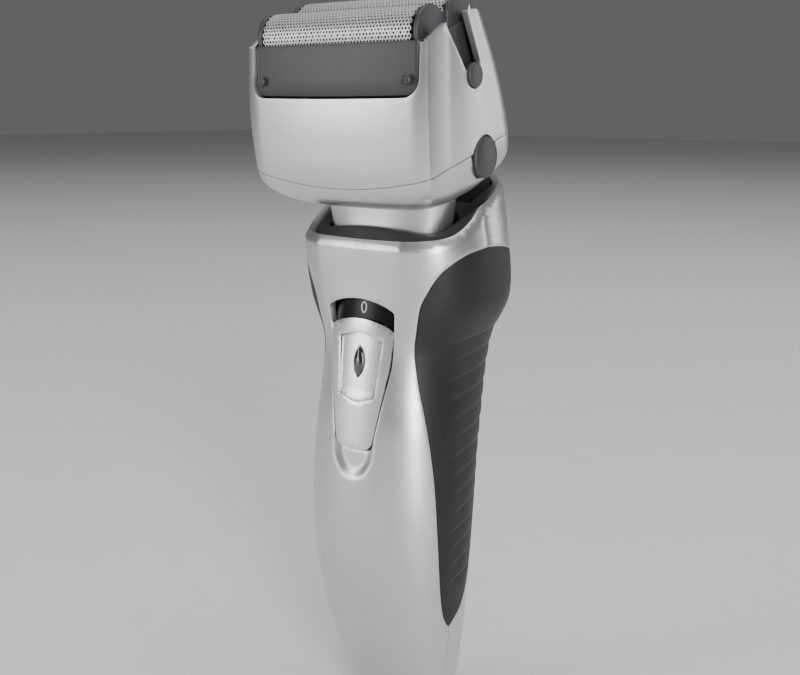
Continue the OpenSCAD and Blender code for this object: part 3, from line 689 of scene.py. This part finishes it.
front_slot = slot_edge(SLOT_LINE[0], SLOT_LINE[3])
rear_slot = slot_edge(SLOT_LINE[1], SLOT_LINE[2])
small_hole = side_line(arc(SB_V, SB_W, SB_R + 0.2, 144, 396, 56))


def top_between(a, b, n):
    return edge_of(top_w, a[-1, 0], b[-1, 0], n)


frame_right = np.vstack([
    lower, rear_u, top_between(rear_u, rear_slot, 24), rear_slot[::-1], small_hole[::-1], front_slot,
    top_between(front_slot, front_u, 24), front_u[::-1]])
keep = np.concatenate([[True], np.linalg.norm(np.diff(frame_right, axis=0), axis=1) > 0.03])
frame_right = frame_right[keep][:-1]
frame_ring = np.vstack([frame_right, front_u[:1], (frame_right[1:] * flip)[::-1]])
step_h = 0.7


def crease_lines(w0, w1):
    """The creases at both front corners between two heights."""
    w = np.linspace(w0, w1, 60)
    return [np.stack([np.full(60, s * F), w], 1) for s in (-1, 1)]


def trimmed(line, ring):
    """The points of a line that lie well inside a ring."""
    hit = inside(line, ring)
    for i in np.where(hit)[0]:
        hit[i] = np.linalg.norm(ring - line[i], axis=1).min() > 0.3
    return line[hit]


ring = resample(frame_ring, 0.5)
lines = [trimmed(line, ring) for line in crease_lines(18, 45)]
points, faces = triangulate([ring], [line for line in lines if len(line) > 2], step_h)
at_seam = np.abs(np.abs(points[:, 0]) - HALF) < 1e-4
points[:, 1] = np.where(at_seam, np.round(points[:, 1], 4), points[:, 1])
make("foil_frame_skin", head_place(points), faces, SILVER, "frame", "silver_body", ["foil_frame"],
     bevel=0.28, thick=1.2, merge=0.01, segments=3, even=False, angle=27,
     outward=lambda p: Vector((p.x, p.y + 0.008, 0)).normalized())

# Base of the head: a bowl below the parting line
notch = side_line(arc(FB_V, FB_W, FB_R + 0.22, 180, 360, 60))
notch = notch[notch[:, 1] < part_w(notch[:, 0], -0.07)]
upper = np.vstack([edge_of(lambda q: part_w(q, -0.07), 0, notch[0, 0], 60)[:-1], notch,
                   edge_of(lambda q: part_w(q, -0.07), notch[-1, 0], HALF, 60)[1:]])
floor_line = np.stack([np.linspace(HALF, 0, 110), np.full(110, FLOOR_W)], 1)
base_right = np.vstack([upper, floor_line])
base_ring = np.vstack([base_right, (base_right[1:-1] * flip)[::-1]])
ring = resample(base_ring, 0.5)
points, faces = triangulate([ring], [trimmed(line, ring) for line in crease_lines(11, 22)], step_h)
floor_row = sorted(np.where(np.abs(points[:, 1] - FLOOR_W) < 1e-5)[0], key=lambda i: points[i, 0])
middle = len(points)
placed = np.vstack([head_place(points), lean([[0, -1, FLOOR_W]])])
faces += [(a, b, middle) for a, b in zip(floor_row, floor_row[1:])]
make("head_base_skin", placed, faces, SILVER, "head", "silver_body", ["head_base"], bevel=0.16, thick=1.0,
     merge=0.01, even=False, angle=24, outward=lambda p: (p - Vector((0, -0.006, 0.128))).normalized())

# Neck
NECK = [  # height, half width, front, rear
    [-2.4, 13.4, -11.6, 3.4], [0.5, 13.4, -11.3, 3.6], [4, 13.8, -10.5, 4.2], [8, 14.6, -9.4, 4.9],
    [10.1, 15, -8.9, 5.4]]


def oval(a, f, r, n, power=2.6):
    """Squarish oval of half width a from the front f to the rear r."""
    t = np.arange(n) * 2 * math.pi / n
    s, c = np.sin(t), np.cos(t)
    e = 2 / power
    y = (f + r) / 2 - (r - f) / 2 * np.sign(c) * np.abs(c) ** e
    return np.stack([a * np.sign(s) * np.abs(s) ** e, y], 1)


neck_rings = []
for wall, heights in ((0, np.linspace(-1.6, 10.1, 26)), (1.4, np.linspace(10.1, -1.6, 8))):
    for w in heights:
        a, f, r = (float(smooth(NECK, k, w)) for k in (1, 2, 3))
        o = oval(a - wall, f + wall, r - wall, 160)
        neck_rings.append(lean(np.column_stack([o, np.full(160, w)])))
verts, faces = stack(neck_rings, closed=True)
make("neck_skin", verts, faces, SILVER, "head", "silver_body", ["neck"], angle=40)

# Collar around the neck
count = 160
COLLAR_LOW, COLLAR_TOP, COLLAR_REAR = 108.6, 119, 12.3
inner = oval(14.6, -12.3, 4.4, count)
arch = 115.7 - 1.9 * (inner[:, 0] / 14.2) ** 2 + 0.31 * np.maximum(inner[:, 1] + 10.5, 0)
tt = np.arange(count) * 360 / count
tt = np.where(tt > 180, tt - 360, tt)


def under_rim(z, d):
    """Ring inside the rim of the handle, cut short behind the neck."""
    z = np.broadcast_to(z, tt.shape)
    x, y = skin(psi_of(np.abs(tt), z), z, d)
    low_z = np.where(y > COLLAR_REAR, np.minimum(z, COLLAR_TOP), z)
    return np.stack([x * np.where(tt < 0, -1, 1), np.minimum(y, COLLAR_REAR), low_z], 1)


outer = under_rim(rim(tt) - 0.8, 2.05)
inner_top = np.column_stack([inner, arch])
inner_low = np.column_stack([inner, np.full(count, COLLAR_LOW)])
outer_low = np.column_stack([outer[:, :2], np.full(count, COLLAR_LOW)])
mids = [inner_top * (1 - u) + outer * u + np.array([0, 0, 0.25 * math.sin(u * math.pi)])
        for u in (0.12, 0.35, 0.65, 0.9)]
verts, faces = stack([inner_low, inner_top, *mids, outer, outer_low], closed=True)
make("collar_skin", verts, faces, SEAL, "handle", "seal_rubber", ["collar"], bevel=0.25, angle=50)


# ---------------------------------------------------------------- cutter block
def prism(profile, x0, x1):
    """Solid of a [v, w] profile between two places along X, in the head's frame."""
    rings = [lean(np.column_stack([np.full(len(profile), x), profile])) for x in (x0, x1)]
    return stack(rings)


def join(parts):
    """Points and faces of several solids as one piece."""
    verts, faces, start = [], [], 0
    for v, f in parts:
        verts.append(np.asarray(v))
        faces += [tuple(i + start for i in face) for face in f]
        start += len(v)
    return np.vstack(verts), faces


FOIL_V = {"front": -6.5, "rear": 3.5}       # depth of each foil's middle
FOIL_W, FOIL_R, CAP_R = 43.8, 4.8, 4.92     # height of the foils' axes, radii of foils and end caps
SKIRT = 2.6         # straight part of a foil below its bend


def foil_point(v0, x, s):
    """Point of a foil: x along it, s around it from its crest."""
    b = np.clip(s / FOIL_R, -math.pi / 2, math.pi / 2)
    down = np.maximum(np.abs(s) - FOIL_R * math.pi / 2, 0)
    return np.stack([x, v0 + FOIL_R * np.sin(b), FOIL_W + FOIL_R * np.cos(b) - down], -1)


def foil_mesh(v0):
    """A sheet of hexagonal cells, each with a hole, bent over the blades."""
    pitch = 0.76
    tall = pitch * 2 / math.sqrt(3)
    keys, verts, faces = {}, [], []

    def corner(x, s):
        key = (round(x, 3), round(s, 3))
        if key not in keys:
            keys[key] = len(verts)
            verts.append((x, s))
        return keys[key]

    half = FOIL_R * math.pi / 2 + SKIRT - tall / 2
    rows = int(2 * half / (tall * 0.75))
    for j in range(rows + 1):
        s = -half + 2 * half * j / rows
        cols = int((36.3 - pitch) / pitch)
        for i in range(cols + 1 - j % 2):
            x = -cols * pitch / 2 + pitch * (i + 0.5 * (j % 2))
            gap = 2 * half / rows
            hexa = [(pitch / 2 * cx, gap * cz) for cx, cz in
                    ((0, 2 / 3), (1, 1 / 3), (1, -1 / 3), (0, -2 / 3), (-1, -1 / 3), (-1, 1 / 3))]
            out = [corner(x + dx, s + dz) for dx, dz in hexa]
            hole = []
            for dx, dz in hexa:
                hole.append(len(verts))
                verts.append((x + dx * 0.62, s + dz * 0.62))
            for k in range(6):
                faces.append((out[k], out[(k + 1) % 6], hole[(k + 1) % 6], hole[k]))
    flat = np.array(verts)
    return lean(foil_point(v0, flat[:, 0], flat[:, 1])), faces


for end, v0 in FOIL_V.items():
    verts, faces = foil_mesh(v0)
    axis = Vector(lean([[0, v0, FOIL_W]])[0]) * MM
    make(f"foil_{end}_sheet", verts, faces, FOIL, f"foil_{end}", "foil_steel", [f"foil_{end}"], thick=0.12,
         flat=True, outward=lambda p, a=axis: Vector((0, p.y - a.y, p.z - a.z)).normalized())
    b = np.linspace(-math.pi / 2, math.pi / 2, 40)
    cap = np.stack([v0 + CAP_R * np.sin(b), FOIL_W + CAP_R * np.cos(b)], 1)
    cap = np.vstack([[v0 - CAP_R, 41.4], cap, [v0 + CAP_R, 41.4]])
    verts, faces = join([prism(cap, 18.3, 19.3), prism(cap, -19.3, -18.3)])
    make(f"foil_{end}_caps", verts, faces, DARK, f"foil_{end}", "dark_plastic", [f"foil_caps_{end}"],
         bevel=0.32, angle=50, segments=3)


def frame_plan(half, front, rear, r, bow):
    """Rounded rectangle with a bowed front, with the same number of points at every size."""
    pts = []
    for k in range(25):
        x = (half - r) * (k / 12 - 1)
        pts.append((x, front + bow * (x / half) ** 2))
    end = front + bow * ((half - r) / half) ** 2
    for b in np.linspace(-90, 0, 8)[1:]:
        pts.append((half - r + r * math.cos(b * DEG), end + r + r * math.sin(b * DEG)))
    for b in np.linspace(0, 90, 8):
        pts.append((half - r + r * math.cos(b * DEG), rear - r + r * math.sin(b * DEG)))
    for k in range(1, 12):
        pts.append(((half - r) * (1 - k / 6), rear))
    for b in np.linspace(90, 180, 8):
        pts.append((-half + r + r * math.cos(b * DEG), rear - r + r * math.sin(b * DEG)))
    for b in np.linspace(180, 270, 8)[:-1]:
        pts.append((-half + r + r * math.cos(b * DEG), end + r + r * math.sin(b * DEG)))
    return pts


def at(plan, w):
    return lean([(x, v, w) for x, v in plan])


HOLDER = [  # height, half width, front, rear, corner radius, bow; up the outside, then down the inside
    (31.0, 19.7, -13.1, 9.4, 0.8, 0.3), (34.3, 19.7, -13.1, 9.4, 0.8, 0.3),
    (34.5, 19.8, -14.9, 10.4, 0.9, 0.8), (37.5, 19.8, -14.2, 9.4, 0.9, 0.8),
    (40.7, 19.8, -13.35, 8.9, 0.9, 0.8), (43.6, 19.8, -12.55, 8.9, 0.9, 0.8),
    (43.6, 19.4, -11.6, 8.5, 0.5, 0), (41, 19.4, -11.6, 8.5, 0.5, 0),
    (36, 19.4, -12.5, 8.6, 0.5, 0), (31.0, 19.4, -12.5, 8.6, 0.5, 0)]
rings = [at(frame_plan(h, f, r, c, bow), w) for w, h, f, r, c, bow in HOLDER]
verts, faces = stack(rings, closed=True)
make("foil_holder_skin", verts, faces, DARK, "frame", "dark_plastic", ["foil_holder"], bevel=0.14, angle=40)


def turned(profile, n=56):
    """Rings of a profile of [radius, along] turned around the third axis."""
    b = np.arange(n) * 2 * math.pi / n
    return [np.stack([r * np.cos(b), r * np.sin(b), np.full(n, h)], 1) for r, h in profile]


def on_x(rings, v, w):
    """Turned rings laid along X at v, w of the head's frame."""
    return [lean(np.stack([p[:, 2], v + p[:, 0], w + p[:, 1]], 1)) for p in rings]


BIG = [  # radius, distance from the shaver's middle plane
    (4.1, 19.0), (4.1, 22.15), (4.06, 22.38), (3.92, 22.56), (3.6, 22.70), (3.0, 22.84), (2.0, 22.96),
    (0.8, 23.02)]
SMALL = [(1.6, 20.6), (1.6, 21.6), (2.05, 21.75), (2.05, 21.9), (2.32, 22.05), (2.35, 22.4), (2.35, 22.85),
         (2.25, 23.05), (1.95, 23.17), (1.0, 23.2)]
for profile, v, w, button in ((BIG, FB_V, FB_W, "frame_button"), (SMALL, SB_V, SB_W, "foil_button")):
    verts, faces = stack(on_x(turned(profile), v, w))
    right = make(button + "_right_skin", verts, faces, DARK, button + "_right", "dark_plastic",
                 [button + "_right"], angle=50)
    mirrored(right, button + "_left_skin", button + "_left", [button + "_left"])

PIN = [(0.55, 0), (0.55, 1.2), (0.95, 1.25), (0.95, 1.5), (0.8, 1.78), (0.5, 1.94), (0.2, 1.98)]
PIN_X, PIN_V, PIN_W = 17.7, -12.9, 37.3
pins = []
for x in (-PIN_X, PIN_X):
    rings = [lean(np.stack([x + p[:, 0], PIN_V - p[:, 2], PIN_W + p[:, 1]], 1)) for p in turned(PIN, 28)]
    verts, faces = stack(rings)
    pins.append((verts, [f[::-1] for f in faces]))
verts, faces = join(pins)
make("holder_pins_skin", verts, faces, DARK, "frame", "dark_plastic", ["holder_pins"], angle=40)

# ---------------------------------------------------------------- switch
TILT = 6.4 * DEG
SWITCH_Y = -16.6    # depth of the switch's face at its middle
LENS_Z = 4.8        # middle of the lock button above the switch's middle


def on_switch(points):
    """Points with X across, Y into the handle and Z up the switch's face."""
    p = np.asarray(points, float)
    y, z = p[..., 1], p[..., 2]
    return np.stack([p[..., 0], SWITCH_Y + y * math.cos(TILT) + z * math.sin(TILT),
                     SWITCH_Z - y * math.sin(TILT) + z * math.cos(TILT)], -1)


def local(ring):
    """An outline at the switch's height, in the switch's own frame."""
    return (ring - [0, SWITCH_Z]) / [1, SQUASH]


def lens_ring(g):
    """Pointed oval of the lock button."""
    r, c = 4.4 + g, 3.05
    b = math.acos(c / r)
    t = np.linspace(-b, b, 26)
    arc_r = np.stack([-c + r * np.cos(t), r * np.sin(t)], 1)
    return np.vstack([arc_r, -arc_r[1:-1]]) + [0, LENS_Z]


def plate_depth(x, d):
    """Depth of the switch's curved face, a distance d behind its middle."""
    return x * x / 58 + d


def toward(p):
    return Vector((0, -1, -0.1))


plate = resample(local(switch_ring(-0.02, 0)), 0.4)
well = resample(local(pad_ring(0.10)), 0.35)
points, faces = triangulate([plate, well], [], 1.0)
verts = on_switch(np.column_stack([points[:, 0], plate_depth(points[:, 0], -0.1), points[:, 1]]))
make("switch_plate_skin", verts, faces, BRIGHT, "switch", "bright_silver", ["switch_plate"], bevel=0.12,
     thick=0.5, segments=3, outward=toward)

pad = resample(local(pad_ring(0.0)), 0.35)
points, faces = triangulate([pad, resample(lens_ring(0.14), 0.3)], [], 0.6)
rise = np.clip((points[:, 1] + 3.9) / 14, 0, 1)
lip = step_up(-points[:, 1], 0.9, 3.2)
depth = (0.16 + 0.44 * rise) * (1 - lip) - 0.06 * lip
verts = on_switch(np.column_stack([points[:, 0], plate_depth(points[:, 0], 0) + depth, points[:, 1]]))
make("thumb_pad_skin", verts, faces, BRIGHT, "switch", "bright_silver", ["thumb_pad"], bevel=0.05,
     thick=0.22, outward=toward)

LENS = [  # share of the outline, depth
    (1, 0.85), (1, 0.40), (0.94, 0.22), (0.80, 0.06), (0.55, -0.06), (0.25, -0.12), (0.06, -0.13)]
lens_rings = []
for share, depth in LENS:
    flat = (lens_ring(0) - [0, LENS_Z]) * share + [0, LENS_Z]
    lens_rings.append(on_switch(np.column_stack([flat[:, 0], np.full(len(flat), depth), flat[:, 1]])))
verts, faces = stack(lens_rings)
make("lock_button_skin", verts, faces, CHROME, "lock", "black_plastic", ["lock_button"], angle=35)

band = resample(local(switch_ring(0.24, TRAVEL)), 0.5)
b = np.arange(32) * 2 * math.pi / 32
slot_ring = np.stack([2.0 * np.cos(b), 6.5 + 2.0 * np.sin(b) + np.where(np.sin(b) > 0, 3.7, -3.7)], 1)
points, faces = triangulate([band, resample(slot_ring, 0.5)], [], 1.0)
verts = on_switch(np.column_stack([points[:, 0], plate_depth(points[:, 0], 0.95), points[:, 1]]))
make("switch_window_skin", verts, faces, GLOSS, "handle", "black_window", ["switch_window"], bevel=0.06,
     thick=0.8, outward=toward)

# The digit 0 on the window
b = np.arange(40) * 2 * math.pi / 40
zero = []
for rx, rz, depth in ((0.46, 0.94, 0.91), (0.74, 1.22, 0.91), (0.74, 1.22, 1.02), (0.46, 0.94, 1.02)):
    zero.append(on_switch(np.column_stack([rx * np.cos(b), np.full(40, depth), 16.2 + rz * np.sin(b)])))
verts, faces = stack(zero, closed=True)
make("mark_zero", verts, faces, MARK, "handle", "bright_silver")

# ---------------------------------------------------------------- trimmer knob
# Profile as [depth, height]: up the stem, down the ribbed outside and back to the stem
side = [(21.1, 101.0), (21.1, 105.0), (22.35, 105.0), (22.35, 107.35)]
for k in range(5):
    z = 107.0 - k * 1.45
    side += [(23.55, z), (23.55, z - 0.55), (23.15, z - 0.75), (23.15, z - 1.25)]
side += [(23.5, 99.85), (22.35, 99.85), (22.35, 101.0)]
side = np.array(side)
rings = [np.column_stack([np.full(len(side), x), side]) for x in (-4.4, 4.4)]
verts, faces = stack(rings)
make("trimmer_knob_skin", verts, faces, DARK, "trimmer", "dark_plastic", ["trimmer_knob"], bevel=0.1,
     angle=40)


# ---------------------------------------------------------------- camera, floor, light
def light(name, power, size, where, aim, size_y=None):
    data = bpy.data.lights.new(name, "AREA")
    data.energy = power
    data.shape = "RECTANGLE" if size_y else "SQUARE"
    data.size = size
    if size_y:
        data.size_y = size_y
    obj = bpy.data.objects.new(name, data)
    obj.location = Vector(where)
    obj.rotation_euler = (Vector(aim) - Vector(where)).to_track_quat("-Z", "Y").to_euler()
    bpy.context.scene.collection.objects.link(obj)


def along(angle, distance, height):
    """A place around the shaver, angle measured from -Y towards +X."""
    return (distance * math.sin(angle * DEG), -distance * math.cos(angle * DEG), height)


MIDDLE = (0, 0, 0.09)
light("front_box", 2.0, 0.24, along(-36, 0.75, 0.26), MIDDLE, 0.45)
light("key", 5.2, 0.20, along(52, 0.72, 0.24), MIDDLE, 0.60)
light("side_box", 0.8, 0.20, along(150, 0.80, 0.26), MIDDLE, 0.50)
light("top", 22.0, 1.60, (0.05, 0.10, 1.70), MIDDLE)

world = bpy.data.worlds.new("studio")
bpy.context.scene.world = world
world.use_nodes = True
world.node_tree.nodes["Background"].inputs["Color"].default_value = (0.95, 0.96, 1.0, 1)
world.node_tree.nodes["Background"].inputs["Strength"].default_value = 0.13

floor_mat = finish("floor", (0.80, 0.80, 0.80), 0, 0.60, 0.01, 400, 0.02)
bpy.ops.mesh.primitive_plane_add(size=9, location=(0, 0, -0.0002))
floor = bpy.context.object
floor.name = "floor"
floor.data.materials.append(floor_mat)

YAW, PITCH, ROLL = 35.86, 12.97, 0.27
CAMERA_AT = (0.12403, -0.17279, 0.13897)
lens = bpy.data.cameras.new("camera")
lens.lens, lens.sensor_width = 44.785, 36
lens.clip_start, lens.clip_end = 0.01, 20
camera = bpy.data.objects.new("camera", lens)
bpy.context.scene.collection.objects.link(camera)
cy, sy, cp, sp = math.cos(YAW * DEG), math.sin(YAW * DEG), math.cos(PITCH * DEG), math.sin(PITCH * DEG)
ahead = Vector((-sy * cp, cy * cp, -sp))
right = Vector((cy, sy, 0))
up = right.cross(ahead)
c, s = math.cos(ROLL * DEG), math.sin(ROLL * DEG)
right, up = c * right + s * up, -s * right + c * up
axes = zip(right, up, -ahead, CAMERA_AT)
camera.matrix_world = Matrix((*axes, (0, 0, 0, 1)))
bpy.context.scene.camera = camera
